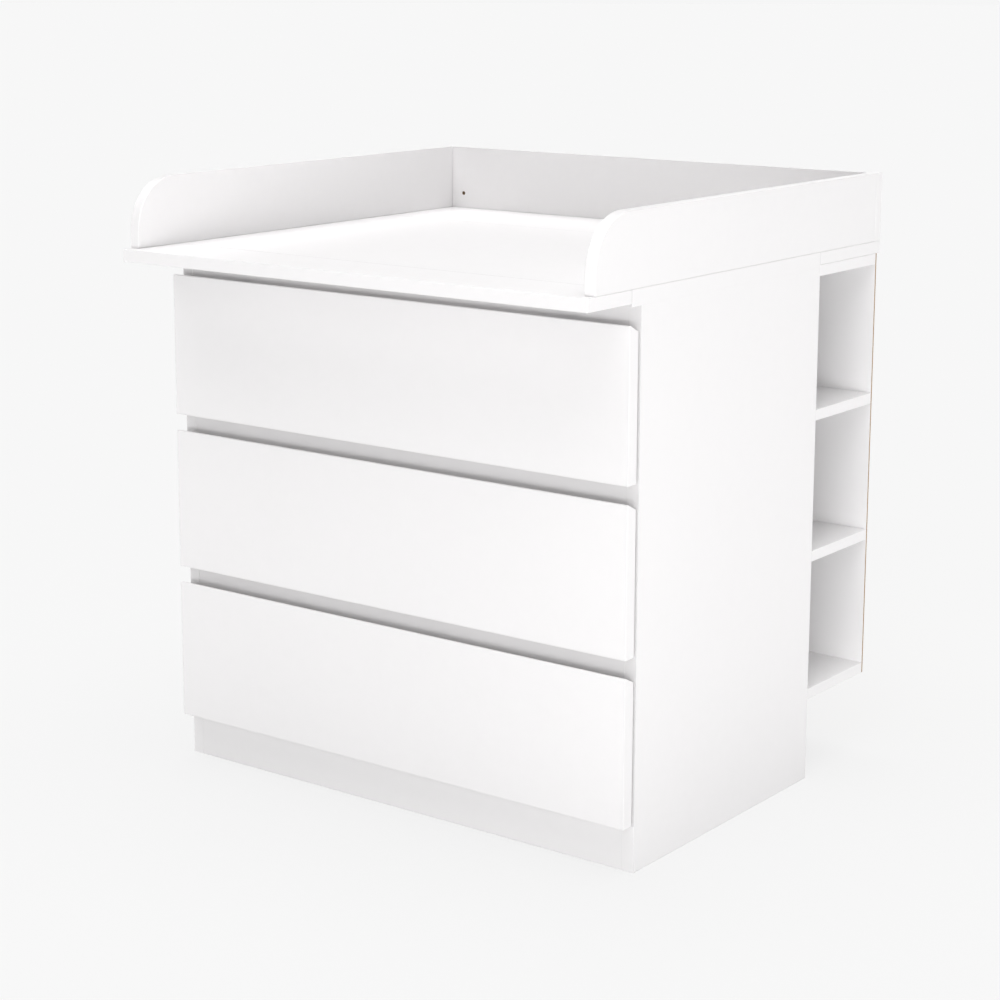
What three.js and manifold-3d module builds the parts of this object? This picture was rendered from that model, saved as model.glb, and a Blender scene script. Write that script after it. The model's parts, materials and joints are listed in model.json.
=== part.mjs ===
// Changing table: a three-drawer chest, a tray-shaped changing top that is longer than the chest
// from front to back, and an open shelf unit that hangs from the top behind the chest.
// Millimetres. +X is the user's right, +Y is the back, +Z is up. The origin is on the floor,
// below the middle of the overall outline.

import * as THREE from 'three';
import { mergeVertices } from 'three/addons/utils/BufferGeometryUtils.js';
import Module from 'manifold-3d';

const wasm = await Module();
wasm.setup();

// ---------------------------------------------------------------- driving dimensions

// Chest
const CHEST_WIDTH = 800;
const CHEST_HEIGHT = 780;
const CARCASS_DEPTH = 458;
const CHEST_TOP = 22; // thickness of the chest's top panel
const TOP_OVERHANG = 22; // how far that panel stands in front of the carcass
const SIDE_BOARD = 18;
const BOARD = 16; // rails, plinth, guards and shelves
const HARDBOARD = 3; // backs and drawer bottoms
const PLINTH_HEIGHT = 64;
const RAIL_HEIGHT = 50;
const BRACE_HEIGHT = 80;
const BACK_INSET = 9; // the chest's back panel lies this far inside the sides' rear edges
const BACK_FOOT = 10; // clearance under the chest's back panel
const GROOVE_DEPTH = 7;
const PLAY = 0.3; // clearance of a panel in its groove

// Changing top
const FRONT_REACH = 120; // front strip's edge, measured forward from the carcass
const REAR_REACH = 162; // inner face of the back guard, measured back from the carcass
const STRIP = 18; // thickness of the two strips that lengthen the chest's top
const GUARD_HEIGHT = 100;
const GUARD_SETBACK = 16; // from the front strip's edge to the side guards
const GUARD_RADIUS = 75;
const WALL_HOLE_RADIUS = 3;
const WALL_HOLE_X = 361;
const WALL_HOLE_RISE = 24;

// Shelf unit behind the chest
const UNIT_FLOOR_GAP = 121;
const UNIT_BACK_INSET = 12; // from the back guard's rear face to the shelves' rear edges
const UNIT_GAP = 0.5; // between the chest and the unit
const SHELF_LEVELS = 3;
const UNIT_RAIL_HEIGHT = 60;
const UNIT_RAIL_END = 340; // the fixing rails stop short of the open ends

// Drawers
const DRAWER_COUNT = 3;
const FRONT_WIDTH = 796;
const FRONT_BOARD = 20;
const FRONT_STANDOFF = 3; // gap between a drawer front and the carcass
const FINGER_GAP = 24; // above each front
const LOWEST_FRONT = 66; // bottom edge of the lowest front
const GRIP_DROP = 9; // how far the top edge of a front slopes down to its back
const FRONT_ROUND = 2;
const BOX_RISE = 18; // from the front's bottom edge to the drawer box's
const BOX_HEIGHT = 150;
const BOX_LENGTH = 430;
const BOX_BOARD = 12;
const BOTTOM_RISE = 8;
const BOTTOM_GROOVE = 5;
const RUNNER_SPACE = 12.5; // between the chest's side and the drawer box

// Steel parts
const RUNNER_STEEL = 1.2;
const CHANNEL_LENGTH = 430;
const CHANNEL_SETBACK = 8;
const CHANNEL_FLOOR = 10;
const CHANNEL_LIP = 8;
const CHANNEL_HEIGHT = 25.6;
const CHANNEL_DROP = 1.6; // channel floor below the drawer box's bottom edge
const FLANGE_UNDER = 14.5;
const FLANGE_OUT = 9.5;
const WEB_HEIGHT = 17.2;
const PLATE_STEEL = 2;
const PLATE_WIDTH = 40;
const PLATE_X = 290;
const PLATE_REACH = 48;
const PLATE_LAP = 18;

// ---------------------------------------------------------------- derived places

const HALF_WIDTH = CHEST_WIDTH / 2;
const INSIDE = HALF_WIDTH - SIDE_BOARD;
const OVERALL_DEPTH = FRONT_REACH + CARCASS_DEPTH + REAR_REACH + BOARD;
const FRONT = -OVERALL_DEPTH / 2;
const REAR = OVERALL_DEPTH / 2;
const CARCASS_FRONT = FRONT + FRONT_REACH;
const CARCASS_REAR = CARCASS_FRONT + CARCASS_DEPTH;
const GUARD_REAR = REAR - BOARD;
const CARCASS_HEIGHT = CHEST_HEIGHT - CHEST_TOP;
const STRIP_UNDERSIDE = CHEST_HEIGHT - STRIP;
const BACK_FACE = CARCASS_REAR - BACK_INSET;
const BACK_FRONT = BACK_FACE - HARDBOARD;
const CHEST_EDGE = CARCASS_FRONT - TOP_OVERHANG;
const FRONT_HEIGHT = (CARCASS_HEIGHT - LOWEST_FRONT - DRAWER_COUNT * FINGER_GAP) / DRAWER_COUNT;
const FRONT_PITCH = FRONT_HEIGHT + FINGER_GAP;
const UNIT_FRONT = CARCASS_REAR + UNIT_GAP;
const UNIT_REAR = REAR - UNIT_BACK_INSET;
const UNIT_CEILING = STRIP_UNDERSIDE - BOARD;
const SHELF_SPACE =
  (UNIT_CEILING - UNIT_FLOOR_GAP - SHELF_LEVELS * BOARD) / SHELF_LEVELS;
const BOX_OUTSIDE = INSIDE - RUNNER_SPACE;
const BOX_INSIDE = BOX_OUTSIDE - BOX_BOARD;
const SIDES = [['left', -1], ['right', 1]];

// ---------------------------------------------------------------- materials

const FINISHES = {
  melamine: { color: 0xf3f3f1, roughness: 0.45, metalness: 0 },
  hardboard: { color: 0xe9e8e4, roughness: 0.6, metalness: 0 },
  coatedSteel: { color: 0xe4e5e6, roughness: 0.4, metalness: 0.3 },
  zincSteel: { color: 0xb9bcc0, roughness: 0.35, metalness: 0.9 },
};

function part(name, finish, geometry) {
  const mesh = new THREE.Mesh(geometry, new THREE.MeshStandardMaterial(FINISHES[finish]));
  mesh.name = name;
  return mesh;
}

// ---------------------------------------------------------------- shapes

// A rectangular board between two limits on each axis.
function boardGeometry([x0, x1], [y0, y1], [z0, z1]) {
  const geometry = new THREE.BoxGeometry(x1 - x0, y1 - y0, z1 - z0);
  return geometry.translate((x0 + x1) / 2, (y0 + y1) / 2, (z0 + z1) / 2);
}

function board(name, finish, xs, ys, zs) {
  return part(name, finish, boardGeometry(xs, ys, zs));
}

const X_AXIS = new THREE.Vector3(1, 0, 0);
const Y_AXIS = new THREE.Vector3(0, 1, 0);
const Z_AXIS = new THREE.Vector3(0, 0, 1);

// Extrudes an outline drawn in (y, z) along +X, from x0.
function alongX(outline, x0, length) {
  const geometry = new THREE.ExtrudeGeometry(outline, {
    depth: length, bevelEnabled: false, curveSegments: 20,
  });
  geometry.applyMatrix4(new THREE.Matrix4().makeBasis(Y_AXIS, Z_AXIS, X_AXIS));
  return geometry.translate(x0, 0, 0);
}

// Extrudes an outline drawn in (x, z) along +Y, from y0.
function alongY(outline, y0, length) {
  const geometry = new THREE.ExtrudeGeometry(outline, { depth: length, bevelEnabled: false });
  const back = Y_AXIS.clone().negate();
  geometry.applyMatrix4(new THREE.Matrix4().makeBasis(X_AXIS, Z_AXIS, back));
  return geometry.translate(0, y0 + length, 0);
}

function polygon(points) {
  return new THREE.Shape(points.map(([u, v]) => new THREE.Vector2(u, v)));
}

// The same outline, drawn for the right (side = 1) or mirrored for the left (side = -1).
function handed(points, side) {
  const mirrored = points.map(([u, v]) => [side * u, v]);
  return polygon(side > 0 ? mirrored : mirrored.reverse());
}

// The interval from a to b on the given side, lowest value first.
function span(side, a, b) {
  return side > 0 ? [a, b] : [-b, -a];
}

function toSolid(geometry) {
  const bare = geometry.clone();
  bare.deleteAttribute('normal');
  bare.deleteAttribute('uv');
  const merged = mergeVertices(bare);
  return new wasm.Manifold(new wasm.Mesh({
    numProp: 3,
    vertProperties: new Float32Array(merged.attributes.position.array),
    triVerts: new Uint32Array(merged.index.array),
  }));
}

// Cuts tools, given as geometries, out of a body.
function cut(body, ...tools) {
  const result = tools.reduce((solid, tool) => solid.subtract(toSolid(tool)), toSolid(body));
  const mesh = result.getMesh();
  const geometry = new THREE.BufferGeometry();
  geometry.setAttribute('position', new THREE.BufferAttribute(mesh.vertProperties, 3));
  geometry.setIndex(new THREE.BufferAttribute(mesh.triVerts, 1));
  geometry.computeVertexNormals();
  return geometry;
}

// ---------------------------------------------------------------- chest

function chestSide(name, side) {
  const geometry = cut(
    boardGeometry(span(side, INSIDE, HALF_WIDTH), [CARCASS_FRONT, CARCASS_REAR], [0, CARCASS_HEIGHT]),
    boardGeometry(
      span(side, INSIDE - 1, INSIDE + GROOVE_DEPTH),
      [BACK_FRONT - PLAY, BACK_FACE + PLAY],
      [-1, CARCASS_HEIGHT + 1],
    ),
  );
  return part(`chest_side_${name}`, 'melamine', geometry);
}

function frontRail(name, centre) {
  const zs = [centre - RAIL_HEIGHT / 2, centre + RAIL_HEIGHT / 2];
  return board(name, 'melamine', [-INSIDE, INSIDE], [CARCASS_FRONT, CARCASS_FRONT + BOARD], zs);
}

// Cabinet member of a drawer runner: a C channel, open towards the drawer.
function channel(name, side, boxFoot) {
  const floor = boxFoot - CHANNEL_DROP;
  const top = floor + CHANNEL_HEIGHT;
  const outline = handed([
    [INSIDE - CHANNEL_FLOOR, floor],
    [INSIDE, floor],
    [INSIDE, top],
    [INSIDE - CHANNEL_LIP, top],
    [INSIDE - CHANNEL_LIP, top - RUNNER_STEEL],
    [INSIDE - RUNNER_STEEL, top - RUNNER_STEEL],
    [INSIDE - RUNNER_STEEL, floor + RUNNER_STEEL],
    [INSIDE - CHANNEL_FLOOR, floor + RUNNER_STEEL],
  ], side);
  const geometry = alongY(outline, CARCASS_FRONT + CHANNEL_SETBACK, CHANNEL_LENGTH);
  return part(name, 'coatedSteel', geometry);
}

function chest() {
  const group = new THREE.Group();
  const inside = [-INSIDE, INSIDE];
  for (const [name, side] of SIDES) group.add(chestSide(name, side));
  group.add(
    board('chest_top', 'melamine', [-HALF_WIDTH, HALF_WIDTH], [CHEST_EDGE, CARCASS_REAR],
      [CARCASS_HEIGHT, CHEST_HEIGHT]),
    board('plinth', 'melamine', inside, [CARCASS_FRONT, CARCASS_FRONT + BOARD],
      [0, PLINTH_HEIGHT]),
    board('rear_plinth', 'melamine', inside, [BACK_FRONT - BOARD, BACK_FRONT],
      [0, PLINTH_HEIGHT]),
    board('base_panel', 'melamine', inside, [CARCASS_FRONT, BACK_FRONT],
      [PLINTH_HEIGHT, PLINTH_HEIGHT + BOARD]),
    board('rear_brace', 'melamine', inside, [BACK_FRONT - BOARD, BACK_FRONT],
      [CARCASS_HEIGHT - BRACE_HEIGHT, CARCASS_HEIGHT]),
    board('chest_back', 'hardboard',
      [-INSIDE - GROOVE_DEPTH + PLAY, INSIDE + GROOVE_DEPTH - PLAY], [BACK_FRONT, BACK_FACE],
      [BACK_FOOT, CARCASS_HEIGHT]),
    frontRail('rail_lower', LOWEST_FRONT + FRONT_PITCH - FINGER_GAP / 2),
    frontRail('rail_upper', LOWEST_FRONT + 2 * FRONT_PITCH - FINGER_GAP / 2),
    frontRail('rail_top', CARCASS_HEIGHT - RAIL_HEIGHT / 2),
  );
  return group;
}

// ---------------------------------------------------------------- changing top

// Side guard: a low board with a large quarter round at its upper front corner.
function sideGuard(name, side) {
  const front = FRONT + GUARD_SETBACK;
  const crown = CHEST_HEIGHT + GUARD_HEIGHT;
  const outline = new THREE.Shape();
  outline.moveTo(front, CHEST_HEIGHT);
  outline.lineTo(GUARD_REAR, CHEST_HEIGHT);
  outline.lineTo(GUARD_REAR, crown);
  outline.lineTo(front + GUARD_RADIUS, crown);
  outline.absarc(front + GUARD_RADIUS, crown - GUARD_RADIUS, GUARD_RADIUS, Math.PI / 2, Math.PI);
  outline.closePath();
  const [x0] = span(side, HALF_WIDTH - BOARD, HALF_WIDTH);
  return part(`guard_${name}`, 'melamine', alongX(outline, x0, BOARD));
}

// Back guard, with the two holes that fix the table to a wall.
function backGuard() {
  const body = boardGeometry([-HALF_WIDTH, HALF_WIDTH], [GUARD_REAR, REAR],
    [CHEST_HEIGHT, CHEST_HEIGHT + GUARD_HEIGHT]);
  const holes = SIDES.map(([, side]) => {
    const drill = new THREE.CylinderGeometry(WALL_HOLE_RADIUS, WALL_HOLE_RADIUS, 2 * BOARD, 24);
    return drill.translate(side * WALL_HOLE_X, REAR - BOARD / 2, CHEST_HEIGHT + WALL_HOLE_RISE);
  });
  return part('guard_back', 'melamine', cut(body, ...holes));
}

// Stepped steel plate that carries the front strip from the chest's thicker top.
function stripPlate(name, side) {
  const step = STRIP_UNDERSIDE - CARCASS_HEIGHT;
  const outline = polygon([
    [CHEST_EDGE - PLATE_REACH, STRIP_UNDERSIDE - PLATE_STEEL],
    [CHEST_EDGE - PLATE_STEEL, STRIP_UNDERSIDE - PLATE_STEEL],
    [CHEST_EDGE - PLATE_STEEL, STRIP_UNDERSIDE - PLATE_STEEL - step],
    [CHEST_EDGE + PLATE_LAP, CARCASS_HEIGHT - PLATE_STEEL],
    [CHEST_EDGE + PLATE_LAP, CARCASS_HEIGHT],
    [CHEST_EDGE, CARCASS_HEIGHT],
    [CHEST_EDGE, STRIP_UNDERSIDE],
    [CHEST_EDGE - PLATE_REACH, STRIP_UNDERSIDE],
  ]);
  const geometry = alongX(outline, side * PLATE_X - PLATE_WIDTH / 2, PLATE_WIDTH);
  return part(`strip_plate_${name}`, 'zincSteel', geometry);
}

function changingTop() {
  const group = new THREE.Group();
  const width = [-HALF_WIDTH, HALF_WIDTH];
  const thickness = [STRIP_UNDERSIDE, CHEST_HEIGHT];
  group.add(
    board('front_strip', 'melamine', width, [FRONT, CHEST_EDGE], thickness),
    board('rear_strip', 'melamine', width, [CARCASS_REAR, REAR], thickness),
    backGuard(),
  );
  for (const [name, side] of SIDES) group.add(sideGuard(name, side), stripPlate(name, side));
  return group;
}

// ---------------------------------------------------------------- shelf unit

function shelfUnit() {
  const group = new THREE.Group();
  const width = [-HALF_WIDTH, HALF_WIDTH];
  const depth = [UNIT_FRONT, UNIT_REAR];
  const floor = UNIT_FLOOR_GAP + BOARD;
  group.add(
    board('unit_top', 'melamine', width, depth, [UNIT_CEILING, STRIP_UNDERSIDE]),
    board('unit_bottom', 'melamine', width, depth, [UNIT_FLOOR_GAP, floor]),
    board('unit_divider', 'melamine', [-BOARD / 2, BOARD / 2], depth, [floor, UNIT_CEILING]),
    board('unit_back', 'hardboard', width, [UNIT_REAR, UNIT_REAR + HARDBOARD],
      [UNIT_FLOOR_GAP, STRIP_UNDERSIDE]),
  );
  for (const [name, side] of SIDES) {
    const half = span(side, BOARD / 2, HALF_WIDTH);
    const pitch = SHELF_SPACE + BOARD;
    for (const [level, count] of [['lower', 1], ['upper', 2]]) {
      const foot = UNIT_FLOOR_GAP + count * pitch;
      group.add(board(`shelf_${level}_${name}`, 'melamine', half, depth, [foot, foot + BOARD]));
    }
    group.add(board(`unit_rail_${name}`, 'melamine', span(side, BOARD / 2, UNIT_RAIL_END),
      [UNIT_FRONT, UNIT_FRONT + BOARD], [UNIT_CEILING - UNIT_RAIL_HEIGHT, UNIT_CEILING]));
  }
  return group;
}

// ---------------------------------------------------------------- drawers

// Groove for a drawer's bottom panel, cut into the pieces around it.
function bottomGroove(xs, ys) {
  return boardGeometry(xs, ys, [BOTTOM_RISE - PLAY, BOTTOM_RISE + HARDBOARD + PLAY]);
}

// Drawer front: its top edge is rounded in front and slopes down towards the back, as a grip.
function drawerFront(name) {
  const face = -FRONT_STANDOFF - FRONT_BOARD;
  const foot = -BOX_RISE;
  const crown = foot + FRONT_HEIGHT;
  const outline = new THREE.Shape();
  outline.moveTo(face, foot);
  outline.lineTo(-FRONT_STANDOFF, foot);
  outline.lineTo(-FRONT_STANDOFF, crown - GRIP_DROP);
  outline.lineTo(face + FRONT_ROUND, crown);
  outline.absarc(face + FRONT_ROUND, crown - FRONT_ROUND, FRONT_ROUND, Math.PI / 2, Math.PI);
  outline.closePath();
  const grooveHalf = BOX_INSIDE + BOTTOM_GROOVE;
  const geometry = cut(
    alongX(outline, -FRONT_WIDTH / 2, FRONT_WIDTH),
    bottomGroove([-grooveHalf, grooveHalf], [-FRONT_STANDOFF - BOTTOM_GROOVE, 0]),
  );
  return part(`${name}_front`, 'melamine', geometry);
}

function drawerSide(name, sideName, side) {
  const ys = [-FRONT_STANDOFF, BOX_LENGTH - FRONT_STANDOFF];
  const geometry = cut(
    boardGeometry(span(side, BOX_INSIDE, BOX_OUTSIDE), ys, [0, BOX_HEIGHT]),
    bottomGroove(span(side, BOX_INSIDE - 1, BOX_INSIDE + BOTTOM_GROOVE), [ys[0] - 1, ys[1] + 1]),
  );
  return part(`${name}_side_${sideName}`, 'melamine', geometry);
}

// Drawer member of a runner: it wraps the lower edge of the box and rides in the channel.
function drawerRunner(name, sideName, side) {
  const outline = handed([
    [BOX_OUTSIDE - FLANGE_UNDER, -RUNNER_STEEL],
    [BOX_OUTSIDE + RUNNER_STEEL, -RUNNER_STEEL],
    [BOX_OUTSIDE + RUNNER_STEEL, WEB_HEIGHT - RUNNER_STEEL],
    [BOX_OUTSIDE + FLANGE_OUT, WEB_HEIGHT - RUNNER_STEEL],
    [BOX_OUTSIDE + FLANGE_OUT, WEB_HEIGHT],
    [BOX_OUTSIDE, WEB_HEIGHT],
    [BOX_OUTSIDE, 0],
    [BOX_OUTSIDE - FLANGE_UNDER, 0],
  ], side);
  const geometry = alongY(outline, 0, BOX_LENGTH - FRONT_STANDOFF);
  return part(`${name}_runner_${sideName}`, 'coatedSteel', geometry);
}

// One drawer, with its box's lower front edge at the group's origin.
function drawer(name) {
  const group = new THREE.Group();
  const rear = BOX_LENGTH - FRONT_STANDOFF;
  const bottomHalf = BOX_INSIDE + BOTTOM_GROOVE - PLAY;
  const backFoot = BOTTOM_RISE + HARDBOARD + PLAY;
  group.add(
    drawerFront(name),
    board(`${name}_back`, 'melamine', [-BOX_INSIDE, BOX_INSIDE], [rear - BOX_BOARD, rear],
      [backFoot, BOX_HEIGHT]),
    board(`${name}_bottom`, 'hardboard', [-bottomHalf, bottomHalf],
      [-FRONT_STANDOFF - BOTTOM_GROOVE + PLAY, rear], [BOTTOM_RISE, BOTTOM_RISE + HARDBOARD]),
  );
  for (const [sideName, side] of SIDES) {
    group.add(drawerSide(name, sideName, side), drawerRunner(name, sideName, side));
  }
  return group;
}

// ---------------------------------------------------------------- assembly

const table = new THREE.Group();
table.add(chest(), changingTop(), shelfUnit());

for (let index = 0; index < DRAWER_COUNT; index += 1) {
  // Drawer 1 is the top one.
  const name = `drawer_${index + 1}`;
  const boxFoot = LOWEST_FRONT + (DRAWER_COUNT - 1 - index) * FRONT_PITCH + BOX_RISE;
  const group = drawer(name);
  group.position.set(0, CARCASS_FRONT, boxFoot);
  table.add(group);
  for (const [sideName, side] of SIDES) {
    table.add(channel(`channel_${index + 1}_${sideName}`, side, boxFoot));
  }
}

export default table;
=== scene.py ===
"""Looks of the changing table: materials for its boards, and the small fittings that hold it together.

Metres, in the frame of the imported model: +X is the user's right, +Y is the back, +Z is up.
"""

import json
import math

import bmesh
import bpy
from mathutils import Matrix, Vector


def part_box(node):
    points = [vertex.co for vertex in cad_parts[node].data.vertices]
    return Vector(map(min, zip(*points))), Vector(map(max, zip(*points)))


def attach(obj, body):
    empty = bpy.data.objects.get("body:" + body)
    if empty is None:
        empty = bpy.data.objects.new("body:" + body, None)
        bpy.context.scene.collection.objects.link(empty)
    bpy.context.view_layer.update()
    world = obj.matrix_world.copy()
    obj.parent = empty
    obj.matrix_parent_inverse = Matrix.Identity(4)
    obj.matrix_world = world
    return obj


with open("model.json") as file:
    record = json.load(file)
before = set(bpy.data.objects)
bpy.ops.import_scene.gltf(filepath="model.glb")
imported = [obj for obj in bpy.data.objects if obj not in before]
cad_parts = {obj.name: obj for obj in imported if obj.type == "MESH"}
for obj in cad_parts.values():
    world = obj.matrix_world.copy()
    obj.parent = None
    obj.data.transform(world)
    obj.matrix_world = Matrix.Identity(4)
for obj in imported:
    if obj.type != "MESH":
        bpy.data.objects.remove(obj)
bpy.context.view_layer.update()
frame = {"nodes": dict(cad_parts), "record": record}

MM = 0.001
X, Y, Z = Vector((1, 0, 0)), Vector((0, 1, 0)), Vector((0, 0, 1))
SIDES = (("left", -1), ("right", 1))
DRAWERS = ("drawer_1", "drawer_2", "drawer_3")
BODY = "frame"


def add_object(name, data):
    made = bpy.data.objects.new(name, data)
    bpy.context.scene.collection.objects.link(made)
    return made


def towards(azimuth, elevation):
    """The direction at these degrees round from the front, to the right, and up from the floor."""
    across, rise = math.radians(azimuth), math.radians(elevation)
    return Vector((
        math.sin(across) * math.cos(rise),
        -math.cos(across) * math.cos(rise),
        math.sin(rise),
    ))


# ---------------------------------------------------------------- camera

CAMERA_PLACE = Vector((1.9912, -2.6878, 1.1865))
CAMERA_AZIMUTH = 36.73
CAMERA_ELEVATION = 11.24
CAMERA_ROLL = math.radians(0.17)
LENS = 83.76
SENSOR = 36.0
SHIFT_UP = -0.08
SEEN_TO = 200  # metres


def make_camera():
    camera = add_object("camera", bpy.data.cameras.new("camera"))
    back = towards(CAMERA_AZIMUTH, CAMERA_ELEVATION)
    aim = back.to_track_quat("Z", "Y").to_matrix().to_4x4()
    camera.matrix_world = (
        Matrix.Translation(CAMERA_PLACE) @ aim @ Matrix.Rotation(CAMERA_ROLL, 4, "Z")
    )
    camera.data.lens = LENS
    camera.data.sensor_width = SENSOR
    camera.data.shift_y = SHIFT_UP
    camera.data.clip_end = SEEN_TO
    bpy.context.scene.camera = camera


make_camera()

# ---------------------------------------------------------------- node trees


class Nodes:
    """Short names for building the nodes of a material or a world."""

    def __init__(self, owner):
        owner.use_nodes = True
        self.tree = owner.node_tree
        self.tree.nodes.clear()

    def add(self, kind, **inputs):
        node = self.tree.nodes.new(kind)
        for name, value in inputs.items():
            self.feed(node, name.replace("_", " "), value)
        return node

    def feed(self, node, name, value):
        """Links a socket to an input, or sets the input to a number, vector or colour."""
        socket = node.inputs[int(name)] if name.isdigit() else node.inputs[name]
        if isinstance(value, bpy.types.NodeSocket):
            self.tree.links.new(value, socket)
        else:
            socket.default_value = value

    def math(self, operation, first, second=0.0):
        node = self.tree.nodes.new("ShaderNodeMath")
        node.operation = operation
        self.feed(node, "0", first)
        self.feed(node, "1", second)
        return node.outputs[0]

    def product(self, first, second):
        return self.math("MULTIPLY", first, second)

    def opposite(self, factor):
        """One minus a factor."""
        return self.math("SUBTRACT", 1.0, factor)

    def vector(self, operation, first, second=(0, 0, 0), out="Vector"):
        node = self.tree.nodes.new("ShaderNodeVectorMath")
        node.operation = operation
        self.feed(node, "0", first)
        self.feed(node, "1", second)
        return node.outputs[out]

    def dot(self, first, second):
        return self.vector("DOT_PRODUCT", first, second, out="Value")

    def height(self, place):
        return self.add("ShaderNodeSeparateXYZ", Vector=place).outputs["Z"]

    def noise(self, place, scale, detail=2.0, roughness=0.5):
        node = self.add(
            "ShaderNodeTexNoise", Vector=place, Scale=scale, Detail=detail, Roughness=roughness
        )
        return node.outputs["Fac"]

    def between(self, factor, low, high):
        """Maps a 0 to 1 factor to a number from low to high."""
        node = self.tree.nodes.new("ShaderNodeMapRange")
        self.feed(node, "Value", factor)
        self.feed(node, "To Min", low)
        self.feed(node, "To Max", high)
        return node.outputs["Result"]

    def step(self, value, start, end):
        """0 below start, 1 above end, and smooth in between."""
        node = self.tree.nodes.new("ShaderNodeMapRange")
        node.interpolation_type = "SMOOTHSTEP"
        self.feed(node, "Value", value)
        self.feed(node, "From Min", start)
        self.feed(node, "From Max", end)
        return node.outputs["Result"]

    def mix(self, factor, first, second):
        """A colour from first, at factor 0, to second, at factor 1."""
        node = self.tree.nodes.new("ShaderNodeMix")
        node.data_type = "RGBA"
        self.feed(node, "Factor", factor)
        for index, colour in ((6, first), (7, second)):  # the node's two colour inputs
            if isinstance(colour, bpy.types.NodeSocket):
                self.tree.links.new(colour, node.inputs[index])
            else:
                node.inputs[index].default_value = (*colour, 1)
        return node.outputs[2]

    def scaled(self, colour, factor):
        """A colour times a number."""
        node = self.tree.nodes.new("ShaderNodeVectorMath")
        node.operation = "SCALE"
        self.feed(node, "0", colour)
        self.feed(node, "Scale", factor)
        return node.outputs["Vector"]

    def bump(self, height, distance, strength, normal=None):
        """Relief from a 0 to 1 height, distance metres deep, on top of the relief in normal."""
        node = self.add("ShaderNodeBump", Height=height, Distance=distance, Strength=strength)
        if normal is not None:
            self.feed(node, "Normal", normal)
        return node.outputs["Normal"]

    def finish(self, colour, roughness, normal, **settings):
        shader = self.tree.nodes.new("ShaderNodeBsdfPrincipled")
        self.feed(shader, "Base Color", colour)
        self.feed(shader, "Roughness", roughness)
        self.feed(shader, "Normal", normal)
        for name, value in settings.items():
            self.feed(shader, name.replace("_", " "), value)
        output = self.tree.nodes.new("ShaderNodeOutputMaterial")
        self.tree.links.new(shader.outputs[0], output.inputs[0])


def start_material(name):
    """A new material, the builder of its nodes, and the coordinates that they read."""
    material = bpy.data.materials.new(name)
    n = Nodes(material)
    return material, n, n.add("ShaderNodeTexCoord").outputs


# ---------------------------------------------------------------- materials

WHITE_FOIL = (0.842, 0.831, 0.834)
FOIL_SHADE = (0.818, 0.807, 0.810)
FOIL_SHADE_AMOUNT = 1.6
FOIL_ROUGHNESS = (0.36, 0.47)
BAND_THICKNESS = 1.0 * MM
BAND_LINE = 0.16 * MM
BAND_DARKENING = 0.12
BAND_GLOSS = 0.05  # how much less rough the band is than the face
# painted shade: how much darker the front edges seen in the gaps between the drawer fronts are
PAINTED_GAP_SHADE = 0.85
# joint edges darkened, partly for dust and partly as painted shade of the seam
JOINT_DUST_AND_SHADE = 0.80


def melamine(name, low, high, gap_shade_from=None, joints=()):
    """White foil on a board between two corners, with the glue line of its edge band.

    Above the given height, a front edge stands behind the drawer fronts, and there its colour is
    darkened: painted shade of the gaps between the fronts.
    An edge that faces along one of the joints meets the next board, and is darkened: partly dust in the
    joint, partly painted shade of the seam.
    """
    material, n, coordinates = start_material(name)
    place, facing = coordinates["Object"], coordinates["Normal"]
    size = high - low
    thin = min(range(3), key=lambda axis: size[axis])
    thin_axis = Vector([float(axis == thin) for axis in range(3)])

    # How far a point on a wide face lies from the nearest edge of the board.
    inward = n.vector("MINIMUM", n.vector("SUBTRACT", place, low), n.vector("SUBTRACT", high, place))
    parts = n.add("ShaderNodeSeparateXYZ", Vector=n.vector("ADD", inward, thin_axis)).outputs
    edge = n.math("MINIMUM", n.math("MINIMUM", parts[0], parts[1]), parts[2])
    on_face = n.step(n.math("ABSOLUTE", n.dot(facing, thin_axis)), start=0.9, end=0.98)
    off_line = n.math("ABSOLUTE", n.math("SUBTRACT", edge, BAND_THICKNESS))
    line = n.product(n.opposite(n.step(off_line, BAND_LINE / 2, BAND_LINE)), on_face)
    band = n.opposite(n.product(on_face, n.step(edge, 0.0, BAND_THICKNESS)))

    cloud = n.noise(place, scale=3.0, detail=3.0)
    mottle = n.noise(place, scale=55.0, detail=4.0, roughness=0.6)
    shade = n.product(n.product(cloud, mottle), FOIL_SHADE_AMOUNT)
    colour = n.mix(shade, WHITE_FOIL, FOIL_SHADE)
    colour = n.scaled(colour, n.opposite(n.product(line, BAND_DARKENING)))
    # Painted shade: front faces above the plinth, behind the drawer fronts, are darkened for the shade
    # in the gaps.
    if gap_shade_from is not None:
        forwards = n.step(n.dot(facing, -Y), start=0.5, end=0.6)
        above = n.step(n.height(place), gap_shade_from, gap_shade_from + 1 * MM)
        colour = n.scaled(colour, n.between(n.product(forwards, above), 1.0, PAINTED_GAP_SHADE))
    # Dust and painted shade: edges that meet the next board are darkened so the seam shows.
    for side in joints:
        meeting = n.step(n.dot(facing, side), start=0.02, end=0.10)
        colour = n.scaled(colour, n.between(meeting, 1.0, JOINT_DUST_AND_SHADE))

    smudge = n.between(n.noise(place, scale=14.0, detail=4.0, roughness=0.55), *FOIL_ROUGHNESS)
    roughness = n.math("SUBTRACT", smudge, n.product(band, BAND_GLOSS))

    peel = n.bump(n.noise(place, scale=240.0), 0.05 * MM, strength=0.5)
    grain = n.noise(place, scale=1500.0, roughness=0.6)
    pearl = n.bump(grain, 0.02 * MM, strength=0.6, normal=peel)
    normal = n.bump(n.opposite(line), 0.12 * MM, strength=0.7, normal=pearl)
    n.finish(colour, roughness, normal, Specular_IOR_Level=0.45)
    return material


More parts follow.
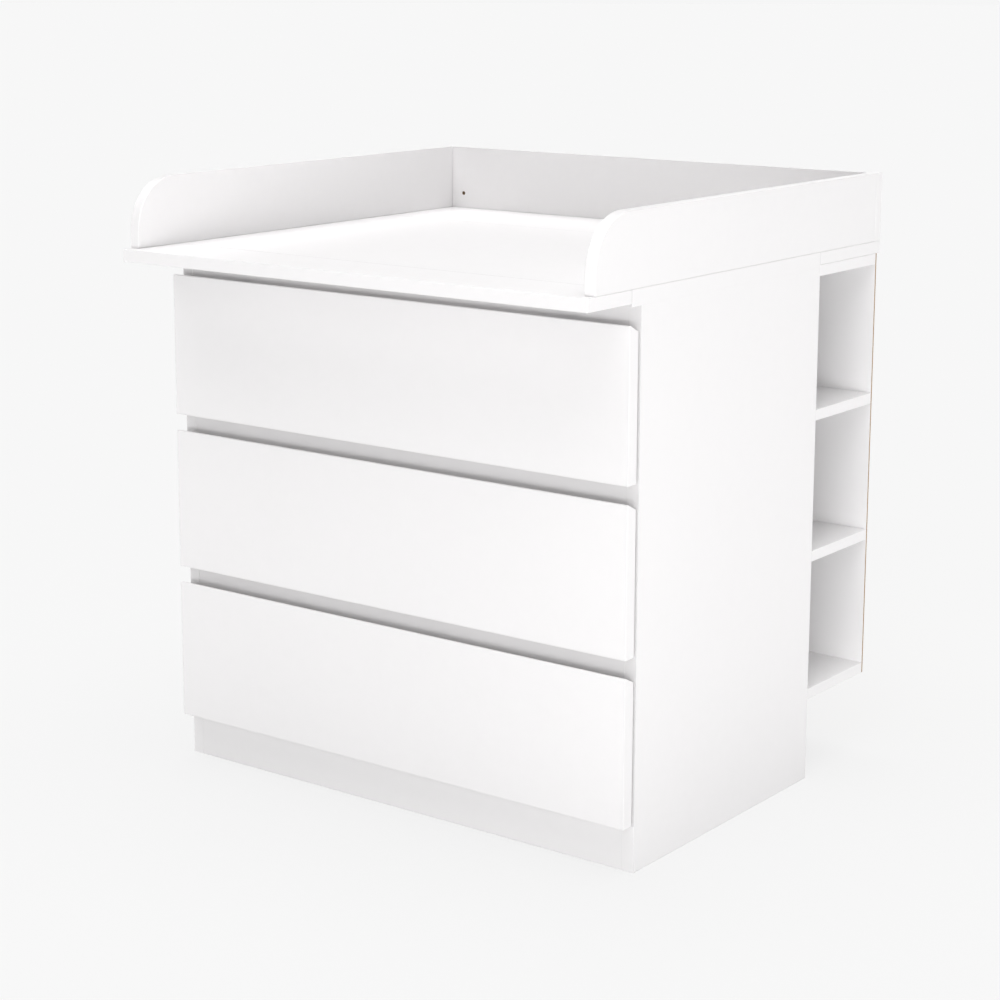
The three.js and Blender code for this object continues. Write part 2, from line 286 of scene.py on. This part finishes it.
LACQUER = (0.897, 0.888, 0.891)
FIBRE_LIGHT = (0.46, 0.30, 0.165)
FIBRE_DARK = (0.25, 0.145, 0.07)
FIBRE_STRETCH = (1.0, 1.0, 0.35)
FIBRE_SHARE = 0.85  # how much of the pattern is fibres, and the rest clouds
RAW_ROUGHNESS = 0.78
LACQUER_GLOSS = 0.30  # how much less rough the lacquer is than the raw side


def hardboard(name, white_side, two_sided):
    """Thin fibreboard: white lacquer on the side that white_side points out of, raw brown elsewhere."""
    material, n, coordinates = start_material(name)
    place = coordinates["Object"]
    towards_white = n.dot(coordinates["Normal"], white_side)
    if two_sided:
        towards_white = n.math("ABSOLUTE", towards_white)
    white = n.step(towards_white, start=0.5, end=0.6)

    stretched = n.vector("MULTIPLY", place, FIBRE_STRETCH)
    fibres = n.noise(stretched, scale=900.0, detail=5.0, roughness=0.65)
    clouds = n.noise(place, scale=22.0, detail=5.0, roughness=0.6)
    blend = n.math("ADD", n.product(fibres, FIBRE_SHARE), n.product(clouds, 1.0 - FIBRE_SHARE))
    raw = n.mix(n.step(blend, start=0.30, end=0.72), FIBRE_DARK, FIBRE_LIGHT)
    uneven = n.between(n.noise(place, scale=5.0, detail=3.0), low=0.975, high=1.0)
    lacquer = n.scaled(LACQUER, uneven)
    colour = n.mix(white, raw, lacquer)
    roughness = n.math("SUBTRACT", RAW_ROUGHNESS, n.product(white, LACQUER_GLOSS))
    rough_side = n.bump(fibres, 0.12 * MM, strength=0.5)
    grain = n.noise(place, scale=320.0, detail=3.0)
    normal = n.bump(grain, 0.04 * MM, strength=0.6, normal=rough_side)
    n.finish(colour, roughness, normal, Specular_IOR_Level=0.35)
    return material


EPOXY = (0.80, 0.805, 0.81)
WORN_EPOXY = (0.58, 0.59, 0.60)
SCUFF_STRETCH = (1.0, 0.03, 1.0)
SCUFF_AMOUNT = 0.5


def painted_steel(name):
    """White epoxy on pressed steel, with its fine grain and thin scuffs from front to back."""
    material, n, coordinates = start_material(name)
    place = coordinates["Object"]
    scuff = n.noise(n.vector("MULTIPLY", place, SCUFF_STRETCH), scale=700.0, detail=3.0)
    worn = n.step(scuff, start=0.62, end=0.80)
    colour = n.mix(n.product(worn, SCUFF_AMOUNT), EPOXY, WORN_EPOXY)
    roughness = n.between(n.noise(place, scale=60.0, detail=3.0), low=0.28, high=0.42)
    normal = n.bump(n.noise(place, scale=900.0), 0.03 * MM, strength=0.6)
    n.finish(colour, roughness, normal)
    return material


DARK_ZINC = (0.62, 0.63, 0.65)
BRIGHT_ZINC = (0.74, 0.75, 0.76)


def zinc_steel(name):
    """Bright zinc plate with faint crystals."""
    material, n, coordinates = start_material(name)
    place = coordinates["Object"]
    crystals = n.add("ShaderNodeTexVoronoi", Vector=place, Scale=420.0).outputs["Color"]
    tone = n.add("ShaderNodeSeparateColor", Color=crystals).outputs["Red"]
    colour = n.mix(tone, DARK_ZINC, BRIGHT_ZINC)
    roughness = n.between(n.noise(place, scale=300.0, detail=3.0), low=0.24, high=0.42)
    normal = n.bump(n.noise(place, scale=1200.0), 0.02 * MM, strength=0.5)
    n.finish(colour, roughness, normal, Metallic=1.0)
    return material


FLOW_TONE = 0.93
GRAIN_ROUGHNESS = 0.12


def moulded(name, tint, roughness):
    """Moulded plastic: a fine spark-eroded grain and a slight flow pattern."""
    material, n, coordinates = start_material(name)
    place = coordinates["Object"]
    darker = tuple(FLOW_TONE * channel for channel in tint)
    colour = n.mix(n.noise(place, scale=90.0), tint, darker)
    uneven = n.between(n.noise(place, scale=800.0), roughness, roughness + GRAIN_ROUGHNESS)
    normal = n.bump(n.noise(place, scale=2600.0), 0.02 * MM, strength=0.6)
    n.finish(colour, uneven, normal)
    return material


LIGHT_CHIP = (0.42, 0.29, 0.17)
DARK_CHIP = (0.22, 0.14, 0.075)


def chipboard(name):
    """Raw particleboard, as a drilled hole shows it."""
    material, n, coordinates = start_material(name)
    chips = n.add("ShaderNodeTexVoronoi", Vector=coordinates["Object"], Scale=900.0)
    tone = n.add("ShaderNodeSeparateColor", Color=chips.outputs["Color"]).outputs["Green"]
    colour = n.mix(tone, LIGHT_CHIP, DARK_CHIP)
    normal = n.bump(chips.outputs["Distance"], 0.3 * MM, strength=0.8)
    n.finish(colour, roughness=0.9, normal=normal, Specular_IOR_Level=0.2)
    return material


STEEL = painted_steel("white_epoxy_steel")
ZINC = zinc_steel("zinc_plate")
NYLON = moulded("nylon", (0.78, 0.77, 0.73), roughness=0.32)
CAP_PLASTIC = moulded("white_cap_plastic", (0.84, 0.84, 0.825), roughness=0.30)
BUMPER_PLASTIC = moulded("bumper_plastic", (0.62, 0.63, 0.64), roughness=0.18)
CHIPS = chipboard("drilled_particleboard")

# ---------------------------------------------------------------- the boards and steel of the frame

EDGE_ROUND = {
    "white_board": 0.6 * MM,
    "white_hardboard": 0.2 * MM,
    "runner_steel": 0.25 * MM,
    "zinc_steel": 0.25 * MM,
}
CLOSE_JOINT_ROUND = 0.15 * MM
CLOSE_JOINTED = ("chest_side_left", "chest_side_right", "chest_top")
OPEN_JOINT_ROUND = 0.9 * MM
OPEN_JOINTED = ("front_strip", "rear_strip", "guard_left", "guard_right")
UNBANDED_TOP = ("chest_side_left", "chest_side_right")  # the chest's top covers that edge
CLEAR_OF_BAND = 10 * MM  # lifts an unbanded edge's glue line off the board
# edges facing these ways meet the next board and get the dust and painted seam shade
TOP_JOINTS = {"front_strip": (Y,), "chest_top": (-Y, Y), "rear_strip": (-Y,)}
BEHIND_FRONTS = ("rail_", "chest_side_")
SHARP_FROM = math.radians(40)
FLAT_WITHIN = math.radians(0.5)
FRONT_FLAT_WITHIN = math.radians(6)  # thins out the facets of a front's small round, for a clean bevel
WELD_WITHIN = 0.01 * MM
ROUND_SEGMENTS = 3
WHITE_SIDES = {"unit_back": -Y, "chest_back": -Y}  # a drawer's bottom is white on top
TWO_SIDED = ("chest_back",)  # the shelf unit shows its rear face


def smooth_by_angle():
    """A node group that shades smoothly across every edge that turns less than SHARP_FROM."""
    group = bpy.data.node_groups.new("smooth_by_angle", "GeometryNodeTree")
    group.interface.new_socket("Mesh", in_out="INPUT", socket_type="NodeSocketGeometry")
    group.interface.new_socket("Mesh", in_out="OUTPUT", socket_type="NodeSocketGeometry")
    start, end = group.nodes.new("NodeGroupInput"), group.nodes.new("NodeGroupOutput")
    smooth = group.nodes.new("GeometryNodeSetShadeSmooth")
    crease = group.nodes.new("GeometryNodeSetShadeSmooth")
    crease.domain = "EDGE"
    crease.inputs["Shade Smooth"].default_value = False
    angle = group.nodes.new("GeometryNodeInputMeshEdgeAngle")
    sharp = group.nodes.new("ShaderNodeMath")
    sharp.operation = "GREATER_THAN"
    sharp.inputs[1].default_value = SHARP_FROM
    for source, target in (
        (start.outputs[0], smooth.inputs["Geometry"]),
        (smooth.outputs[0], crease.inputs["Geometry"]),
        (angle.outputs["Unsigned Angle"], sharp.inputs[0]),
        (sharp.outputs[0], crease.inputs["Selection"]),
        (crease.outputs[0], end.inputs[0]),
    ):
        group.links.new(source, target)
    return group


SMOOTH_BY_ANGLE = smooth_by_angle()


def soften(node, radius, flat_within):
    """Rounds a CAD node's edges with modifiers, and leaves its mesh as it is."""
    node.modifiers.new("weld", "WELD").merge_threshold = WELD_WITHIN
    merge = node.modifiers.new("merge_flat_faces", "DECIMATE")
    merge.decimate_type = "DISSOLVE"
    merge.angle_limit = flat_within
    node.modifiers.new("smooth", "NODES").node_group = SMOOTH_BY_ANGLE
    bevel = node.modifiers.new("edge_round", "BEVEL")
    bevel.width = radius
    bevel.segments = ROUND_SEGMENTS
    bevel.limit_method = "ANGLE"
    bevel.angle_limit = SHARP_FROM
    bevel.harden_normals = True
    bevel.use_clamp_overlap = False


def board_foil(name):
    low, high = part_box(name)
    if name in UNBANDED_TOP:
        high = high + CLEAR_OF_BAND * Z
    # the rails and the chest's sides get painted gap shade on their front edges above the plinth
    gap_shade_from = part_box("plinth")[1].z if name.startswith(BEHIND_FRONTS) else None
    return melamine(f"foil_{name}", low, high, gap_shade_from, TOP_JOINTS.get(name, ()))


def edge_round(name, kind):
    if name in CLOSE_JOINTED:
        return CLOSE_JOINT_ROUND
    if name in OPEN_JOINTED:
        return OPEN_JOINT_ROUND
    return EDGE_ROUND[kind]


def dress_nodes():
    slots = {row["node"]: row["material_slot"] for row in frame["record"]["subparts"]}
    for name, node in frame["nodes"].items():
        kind = slots[name]
        if kind == "white_board":
            material = board_foil(name)
        elif kind == "white_hardboard":
            material = hardboard(f"hardboard_{name}", WHITE_SIDES.get(name, Z), name in TWO_SIDED)
        else:
            material = STEEL if kind == "runner_steel" else ZINC
        node.data.materials.clear()
        node.data.materials.append(material)
        flat_within = FRONT_FLAT_WITHIN if name.endswith("_front") else FLAT_WITHIN
        soften(node, edge_round(name, kind), flat_within)


dress_nodes()

# ---------------------------------------------------------------- small shapes

ROUND = 28
SAME_PLACE = 1e-6
FITTING_SHARP_FROM = math.radians(35)


def lathe(shape, profile, steps=ROUND):
    """Adds a turned solid to a bmesh: profile is (radius, height) from axis to axis, about +Z."""
    turn = [2 * math.pi * i / steps for i in range(steps)]
    rings = []
    for radius, height in profile:
        if radius == 0:
            rings.append([shape.verts.new((0, 0, height))])
            continue
        ring = [shape.verts.new((radius * math.cos(a), radius * math.sin(a), height)) for a in turn]
        rings.append(ring)
    for lower, upper in zip(rings, rings[1:]):
        for i in range(steps):
            j = (i + 1) % steps
            corners = [
                lower[i % len(lower)], lower[j % len(lower)],
                upper[j % len(upper)], upper[i % len(upper)],
            ]
            corners = list(dict.fromkeys(corners))
            if len(corners) > 2:
                shape.faces.new(corners)


def to_mesh(shape, name):
    bmesh.ops.recalc_face_normals(shape, faces=shape.faces)
    mesh = bpy.data.meshes.new(name)
    shape.to_mesh(mesh)
    shape.free()
    return mesh


def in_metres(profile):
    return [(radius * MM, height * MM) for radius, height in profile]


def turned(name, profile, steps=ROUND):
    """A turned mesh, from a profile in millimetres."""
    shape = bmesh.new()
    lathe(shape, in_metres(profile), steps)
    return to_mesh(shape, name)


SOCKET_TAPER = 0.8


def cross_points(reach, half):
    """Corners of a plus sign, anticlockwise."""
    corner = [(reach, -half), (reach, half), (half, half)]
    points = []
    for quarter in range(4):
        spin = Matrix.Rotation(quarter * math.pi / 2, 2)
        points += [spin @ Vector(point) for point in corner]
    return points


def driven(name, profile, reach, half, depth):
    """A turned head whose flat top, the profile's last ring, holds a cross-shaped socket.

    In millimetres: reach is half the cross, half is half the width of an arm.
    """
    shape = bmesh.new()
    profile = in_metres(profile)
    lathe(shape, profile)
    rim_radius, top = profile[-1]
    at_top = [v for v in shape.verts if abs(v.co.z - top) < SAME_PLACE]
    rim = [v for v in at_top if v.co.xy.length > rim_radius - SAME_PLACE]
    rim.sort(key=lambda v: math.atan2(v.co.y, v.co.x))
    points = cross_points(reach * MM, half * MM)
    cross = [shape.verts.new((*point, top)) for point in points]
    bottom = [shape.verts.new((*(point * SOCKET_TAPER), top - depth * MM)) for point in points]
    loops = []
    for ring in (rim, cross):
        for first, second in zip(ring, ring[1:] + ring[:1]):
            loops.append(shape.edges.get((first, second)) or shape.edges.new((first, second)))
    bmesh.ops.triangle_fill(shape, use_beauty=True, edges=loops)
    for i in range(len(cross)):
        j = (i + 1) % len(cross)
        shape.faces.new((cross[i], cross[j], bottom[j], bottom[i]))
    shape.faces.new(bottom)
    return to_mesh(shape, name)


SHANK_SHARE = 0.45  # a shank's radius, as a part of its head's
DOME_ANGLES = (0.0, 0.4, 0.8, 1.1)
DOME_FULLNESS = 0.6  # 1 is a plain ellipse, and less is fuller


def head_profile(radius, height, flat):
    """A shallow dome with an open, flat top and a short shank below, in millimetres."""
    shank = SHANK_SHARE * radius
    rise = [
        (max(radius * math.cos(a) ** DOME_FULLNESS, flat), height * math.sin(a))
        for a in DOME_ANGLES
    ]
    return [(0, -2 * height), (shank, -2 * height), (shank, 0), *rise, (flat, height)]


SCREW = driven("screw", head_profile(3.6, 1.3, 2.2), reach=1.5, half=0.35, depth=1.1)
FLUSH_SCREW = driven(
    "flush_screw",
    [(0, -4), (1.6, -3.4), (3.7, -0.35), (3.7, 0), (3.4, 0.12)],
    reach=1.7, half=0.4, depth=1.3,
)
CAM = driven(
    "cam",
    [(0, -9), (7.2, -9), (7.4, -0.3), (7.4, 0.15), (6.9, 0.45), (5.6, 0.3)],
    reach=3.4, half=0.8, depth=2.4,
)
NAIL = turned(
    "nail",
    [(0, -3), (0.6, -3), (0.6, 0), (1.6, 0), (1.5, 0.3), (1.0, 0.5), (0, 0.55)],
    steps=16,
)
CAP = turned(
    "cap",
    [(0, -2), (2.4, -2), (2.6, 0), (6.0, 0), (6.1, 0.35), (5.7, 0.8), (4.6, 1.0), (2.0, 0.85),
     (0, 0.8)],
)
BUMPER = turned(
    "bumper", [(0, 0), (4.2, 0), (4.4, 0.4), (4.1, 1.4), (3.0, 2.1), (1.4, 2.35), (0, 2.4)]
)
ROLLER_RADIUS = 7.4  # millimetres, like the profiles
ROLLER_WIDTH = 6.0
ROLLER = turned(
    "roller",
    [(0, 0.6), (2.2, 0.6), (2.8, 0), (4.2, 0), (4.6, 0.8), (6.0, 0.8), (6.4, 0.1),
     (ROLLER_RADIUS - 0.4, 0), (ROLLER_RADIUS, 0.5), (ROLLER_RADIUS, ROLLER_WIDTH - 0.5),
     (ROLLER_RADIUS - 0.4, ROLLER_WIDTH), (6.4, ROLLER_WIDTH - 0.1), (6.0, ROLLER_WIDTH - 0.8),
     (4.6, ROLLER_WIDTH - 0.8), (4.2, ROLLER_WIDTH), (2.8, ROLLER_WIDTH),
     (2.2, ROLLER_WIDTH - 0.6), (0, ROLLER_WIDTH - 0.6)],
    steps=36,
)
AXLE = turned(
    "axle",
    [(0, 0), (1.7, 0), (1.7, ROLLER_WIDTH + 0.2), (2.9, ROLLER_WIDTH + 0.2),
     (2.7, ROLLER_WIDTH + 0.9), (1.5, ROLLER_WIDTH + 1.3), (0, ROLLER_WIDTH + 1.4)],
)


def place_at(point, out):
    """The placement that puts a shape's origin at point, with its +Z along out."""
    turn = Vector(out).to_track_quat("Z", "Y").to_matrix().to_4x4()
    return Matrix.Translation(point) @ turn


def shares(low, high, parts):
    """The places at these parts of the way from low to high."""
    return [low + part * (high - low) for part in parts]


def fit(name, mesh, body, places, material):
    """One piece made of a copy of mesh at each placement, riding on body."""
    shape = bmesh.new()
    for place in places:
        copy = mesh.copy()
        copy.transform(place)
        shape.from_mesh(copy)
        bpy.data.meshes.remove(copy)
    made = to_mesh(shape, name)
    made.materials.append(material)
    made.shade_smooth()
    made.set_sharp_from_angle(angle=FITTING_SHARP_FROM)
    piece = add_object(name, made)
    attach(piece, body)


# ---------------------------------------------------------------- drawer runners and drawer fittings

WEB = 1.2 * MM  # steel thickness of the runners
FLANGE_REACH = 9.5 * MM
CHANNEL_SCREWS = (0.12, 0.5, 0.9)  # parts of the length, from the front
CHANNEL_ROLLER_INSET = 11 * MM
CHANNEL_ROLLER_GAP = 0.6 * MM
RUNNER_SCREWS = (0.18, 0.55, 0.86)
RUNNER_SCREW_RISE = 9 * MM
RUNNER_ROLLER_INSET = 10 * MM
RUNNER_ROLLER_GAP = 0.5 * MM
CAM_INSET = 27 * MM
BACK_SCREW_INSET = 6 * MM
BOX_FIXING_INSET = 34 * MM  # of cams and back screws, from a drawer side's top and bottom
BUMPER_INSET = 9 * MM
BUMPER_RISE = 14 * MM
BUMPER_DROP = 24 * MM


def fit_roller(name, body, hub, out, gap):
    """A roller and its axle, which stand on the steel at hub."""
    fit(f"{name}_roller", ROLLER, body, [place_at(hub + gap * out, out)], NYLON)
    fit(f"{name}_axle", AXLE, body, [place_at(hub, out)], ZINC)


def fit_channel(number, side_name, side):
    """Screws, and the front roller that carries the drawer's flange."""
    name = f"channel_{number}_{side_name}"
    low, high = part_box(name)
    wall = (high.x if side > 0 else low.x) - side * WEB
    inwards = -side * X
    middle = (low.z + high.z) / 2
    screws = [
        place_at(Vector((wall, y, middle)), inwards) for y in shares(low.y, high.y, CHANNEL_SCREWS)
    ]
    fit(f"{name}_screws", SCREW, BODY, screws, ZINC)
    flange_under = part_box(f"drawer_{number}_runner_{side_name}")[1].z - WEB
    hub = Vector((wall, low.y + CHANNEL_ROLLER_INSET, flange_under - ROLLER_RADIUS * MM))
    fit_roller(name, BODY, hub, inwards, CHANNEL_ROLLER_GAP)


def fit_runner(drawer, number, side_name, side):
    """Screws, and the rear roller that rolls on the channel's floor."""
    name = f"{drawer}_runner_{side_name}"
    low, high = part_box(name)
    web = (high.x if side > 0 else low.x) - side * (FLANGE_REACH - WEB)
    outwards = side * X
    height = low.z + RUNNER_SCREW_RISE
    screws = [
        place_at(Vector((web, y, height)), outwards) for y in shares(low.y, high.y, RUNNER_SCREWS)
    ]
    fit(f"{name}_screws", FLUSH_SCREW, drawer, screws, ZINC)
    floor_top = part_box(f"channel_{number}_{side_name}")[0].z + WEB
    hub = Vector((web, high.y - RUNNER_ROLLER_INSET, floor_top + ROLLER_RADIUS * MM))
    fit_roller(name, drawer, hub, outwards, RUNNER_ROLLER_GAP)


def fit_box(drawer, side_name, side):
    """Cams that pull the drawer front on, and screws into the ends of the drawer's back."""
    low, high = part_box(f"{drawer}_side_{side_name}")
    inner, outer = (low.x, high.x) if side > 0 else (high.x, low.x)
    heights = (low.z + BOX_FIXING_INSET, high.z - BOX_FIXING_INSET)
    cams = [place_at(Vector((inner, low.y + CAM_INSET, z)), -side * X) for z in heights]
    fit(f"{drawer}_cams_{side_name}", CAM, drawer, cams, ZINC)
    screws = [place_at(Vector((outer, high.y - BACK_SCREW_INSET, z)), side * X) for z in heights]
    fit(f"{drawer}_back_screws_{side_name}", FLUSH_SCREW, drawer, screws, ZINC)


def fit_bumpers(drawer):
    """Bumpers on the rear face of a drawer front, where it meets the chest's sides."""
    low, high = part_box(f"{drawer}_front")
    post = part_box("chest_side_right")[1].x - BUMPER_INSET
    corners = [
        place_at(Vector((sign * post, high.y, z)), Y)
        for sign in (-1, 1)
        for z in (low.z + BUMPER_RISE, high.z - BUMPER_DROP)
    ]
    fit(f"{drawer}_bumpers", BUMPER, drawer, corners, BUMPER_PLASTIC)


for number, drawer in enumerate(DRAWERS, 1):
    fit_bumpers(drawer)
    for side_name, side in SIDES:
        fit_channel(number, side_name, side)
        fit_runner(drawer, number, side_name, side)
        fit_box(drawer, side_name, side)

# ---------------------------------------------------------------- fixings of the top and the shelf unit

GUARD_SCREW_INSET = 26 * MM
STRIP_SCREW_INSET = 22 * MM
CAP_INSET = 24 * MM
PLATE_THICKNESS = 2 * MM
PLATE_SCREW_SPREAD = 11 * MM
PLATE_FRONT_INSET = 14 * MM
PLATE_REAR_INSET = 8 * MM


def fit_top():
    """Screws up into the guards, caps on the back guard, and the screws of the strip plates."""
    guard_low, guard_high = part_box("guard_right")
    strip_low, strip_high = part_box("front_strip")
    back_low, back_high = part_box("guard_back")
    middle = (guard_low.x + guard_high.x) / 2
    under = [
        place_at(Vector((sign * middle, y, strip_low.z)), -Z)
        for sign in (-1, 1)
        for y in (guard_low.y + GUARD_SCREW_INSET, strip_high.y - STRIP_SCREW_INSET)
    ]
    fit("front_strip_screws", FLUSH_SCREW, BODY, under, ZINC)
    rear = [
        place_at(Vector((sign * middle, back_high.y, z)), Y)
        for sign in (-1, 1)
        for z in (back_low.z + CAP_INSET, back_high.z - CAP_INSET)
    ]
    fit("guard_back_caps", CAP, BODY, rear, CAP_PLASTIC)
    for side_name, _ in SIDES:
        low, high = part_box(f"strip_plate_{side_name}")
        x = (low.x + high.x) / 2
        spots = [
            (x + across, low.y + PLATE_FRONT_INSET, high.z - PLATE_THICKNESS)
            for across in (-PLATE_SCREW_SPREAD, PLATE_SCREW_SPREAD)
        ]
        spots.append((x, high.y - PLATE_REAR_INSET, low.z))
        places = [place_at(Vector(spot), -Z) for spot in spots]
        fit(f"strip_plate_screws_{side_name}", SCREW, BODY, places, ZINC)


WALL_HOLE_RADIUS = 3 * MM
WALL_HOLE_INSET = 39 * MM
WALL_HOLE_RISE = 24 * MM
WALL_HOLE_LIP = 0.35 * MM
WALL_HOLE_CLEARANCE = 0.02 * MM
WALL_HOLE_LINING = 0.25 * MM  # how far the inner wall stands in from the hole's radius


def line_wall_holes():
    """The drilled walls of the two holes in the back guard."""
    low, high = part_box("guard_back")
    depth = high.y - low.y - 2 * WALL_HOLE_LIP
    inner = WALL_HOLE_RADIUS - WALL_HOLE_LINING
    outer = WALL_HOLE_RADIUS - WALL_HOLE_CLEARANCE
    ring = bmesh.new()
    lathe(ring, [(inner, 0), (outer, 0), (outer, depth), (inner, depth), (inner, 0)], steps=24)
    bmesh.ops.remove_doubles(ring, verts=ring.verts, dist=SAME_PLACE)
    sleeve = to_mesh(ring, "hole_wall")
    places = [
        place_at(Vector((x, low.y + WALL_HOLE_LIP, low.z + WALL_HOLE_RISE)), Y)
        for x in (low.x + WALL_HOLE_INSET, high.x - WALL_HOLE_INSET)
    ]
    fit("wall_hole_walls", sleeve, BODY, places, CHIPS)


NAIL_SPACING = 95 * MM
NAIL_INSET = 12 * MM
HALF_BOARD = 8 * MM
RAIL_SCREWS = (0.15, 0.5, 0.85)
TIDY_DIGITS = 5  # rounds places to 0.01 mm, so that a nail isn't made twice


def spread(low, high, spacing):
    """Evenly spaced places from low to high, both included."""
    count = max(1, round((high - low) / spacing))
    return [low + (high - low) * i / count for i in range(count + 1)]


def fit_unit():
    """Nails round the unit's back and along its shelves, and the screws of the two fixing rails."""
    low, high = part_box("unit_back")
    left, right = low.x + NAIL_INSET, high.x - NAIL_INSET
    rows = [low.z + HALF_BOARD, high.z - HALF_BOARD]
    for shelf in ("shelf_lower_right", "shelf_upper_right"):
        shelf_low, shelf_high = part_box(shelf)
        rows.append((shelf_low.z + shelf_high.z) / 2)
    spots = [(x, z) for z in rows for x in spread(left, right, NAIL_SPACING)]
    spots += [(0.0, z) for z in spread(rows[0], rows[1], NAIL_SPACING)]
    spots = {(round(x, TIDY_DIGITS), round(z, TIDY_DIGITS)) for x, z in spots}
    nails = [place_at(Vector((x, high.y, z)), Y) for x, z in sorted(spots)]
    fit("unit_back_nails", NAIL, BODY, nails, ZINC)
    for side_name, _ in SIDES:
        low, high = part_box(f"unit_rail_{side_name}")
        middle = (low.z + high.z) / 2
        places = [
            place_at(Vector((x, high.y, middle)), Y) for x in shares(low.x, high.x, RAIL_SCREWS)
        ]
        fit(f"unit_rail_screws_{side_name}", SCREW, BODY, places, ZINC)


fit_top()
line_wall_holes()
fit_unit()

# ---------------------------------------------------------------- studio

WHITE = (1, 1, 1, 1)
BACKDROP = 0.92  # its brightness, which the floor's glow and tint are set to match
BACKDROP_TOP = math.radians(15)  # its light starts to fade at this height
BACKDROP_FADE = math.radians(20)  # and is gone at this one
BACKDROP_OPENING = -12  # degrees round from the front
OPENING_EDGE = 0.35  # cosine of the angle from the opening's middle to its soft edge
OPENING_FULL = 0.75  # and to where it gives no light
OVERHEAD = 3.5
OVERHEAD_START = math.radians(41)
OVERHEAD_FULL = math.radians(80)
FLOOR_RADIUS = 60.0
FLOOR_TINT = (0.12, 0.12, 0.12)
FLOOR_GRAIN_TINT = (0.1176, 0.1176, 0.1176)
FLOOR_ROUGHNESS = 0.9
FLOOR_GLOW = 0.78
NEAR_FLOOR_GLOW = 0.50  # what the floor close round the object gives, as a shaded floor would
NEAR_FLOOR = 0.45  # metres from the middle, where that shade starts to fade
FAR_FLOOR = 0.85  # and where it ends


def make_floor():
    """A glowing white floor, plain to the camera, which lights the object's foot a little less."""
    shape = bmesh.new()
    bmesh.ops.create_circle(shape, cap_ends=True, segments=96, radius=FLOOR_RADIUS)
    floor = add_object("studio_floor", to_mesh(shape, "studio_floor"))
    material, n, coordinates = start_material("studio_floor")
    place = coordinates["Object"]
    grain = n.noise(place, scale=400.0)
    colour = n.mix(grain, FLOOR_TINT, FLOOR_GRAIN_TINT)
    normal = n.bump(grain, 0.02 * MM, strength=0.3)
    away = n.step(n.vector("LENGTH", place, out="Value"), NEAR_FLOOR, FAR_FLOOR)
    given = n.between(away, NEAR_FLOOR_GLOW, FLOOR_GLOW)
    seen = n.add("ShaderNodeLightPath").outputs["Is Camera Ray"]
    n.finish(
        colour, FLOOR_ROUGHNESS, normal, Specular_IOR_Level=0.0,
        Emission_Color=WHITE, Emission_Strength=n.between(seen, given, FLOOR_GLOW),
    )
    floor.data.materials.append(material)
    return floor


def make_world():
    """A pale backdrop, which lights the object from the sides and the rear, and an overhead softbox.

    The part in front gives no light, and the camera sees the same plain backdrop all round.
    """
    world = bpy.data.worlds.new("studio")
    n = Nodes(world)
    direction = n.add("ShaderNodeTexCoord").outputs["Generated"]
    height = n.height(direction)
    above = n.step(height, math.sin(BACKDROP_TOP), math.sin(BACKDROP_FADE))
    opening = n.step(n.dot(direction, towards(BACKDROP_OPENING, 0)), OPENING_EDGE, OPENING_FULL)
    backdrop = n.product(BACKDROP, n.product(n.opposite(above), n.opposite(opening)))
    overhead = n.step(height, math.sin(OVERHEAD_START), math.sin(OVERHEAD_FULL))
    given = n.math("ADD", backdrop, n.product(OVERHEAD, overhead))
    seen = n.add("ShaderNodeLightPath").outputs["Is Camera Ray"]
    glow = n.add("ShaderNodeBackground", Color=WHITE, Strength=n.between(seen, given, BACKDROP))
    output = n.add("ShaderNodeOutputWorld")
    n.tree.links.new(glow.outputs[0], output.inputs[0])
    bpy.context.scene.world = world


KEY_FROM = (20, 30)  # degrees round and up
KEY_SPREAD = math.radians(30)
KEY_ENERGY = 0.56
SOFTBOXES = (("front_softbox", 26, 35), ("side_softbox", 56, 36))  # name, degrees round, watts
SOFTBOX_DISTANCE = 3.6
SOFTBOX_HEIGHT = 0.40
SOFTBOX_SIZE = (4.0, 0.76)


def make_lamp(name, kind, direction, **settings):
    light = bpy.data.lights.new(name, kind)
    for setting, value in settings.items():
        setattr(light, setting, value)
    lamp = add_object(name, light)
    lamp.rotation_mode = "QUATERNION"
    lamp.rotation_quaternion = direction.to_track_quat("Z", "Y")
    return lamp


def keep_light_off(lamp, target):
    shaded = bpy.data.collections.new(f"{lamp.name}_shaded")
    shaded.objects.link(target)
    lamp.light_linking.receiver_collection = shaded
    shaded.collection_objects[0].light_linking.link_state = "EXCLUDE"


def make_softbox(name, azimuth, energy, floor):
    """A wide, low light that reaches under the top and into the shelves, and leaves the floor alone."""
    direction = towards(azimuth, 0)
    wide, tall = SOFTBOX_SIZE
    lamp = make_lamp(
        name, "AREA", direction, shape="RECTANGLE", size=wide, size_y=tall, energy=energy
    )
    lamp.location = SOFTBOX_DISTANCE * direction + SOFTBOX_HEIGHT * Z
    lamp.visible_camera = False
    keep_light_off(lamp, floor)


def light_studio():
    floor = make_floor()
    make_world()
    make_lamp("key", "SUN", towards(*KEY_FROM), angle=KEY_SPREAD, energy=KEY_ENERGY)
    for name, azimuth, energy in SOFTBOXES:
        make_softbox(name, azimuth, energy, floor)
    bpy.context.scene.view_settings.view_transform = "Standard"


light_studio()
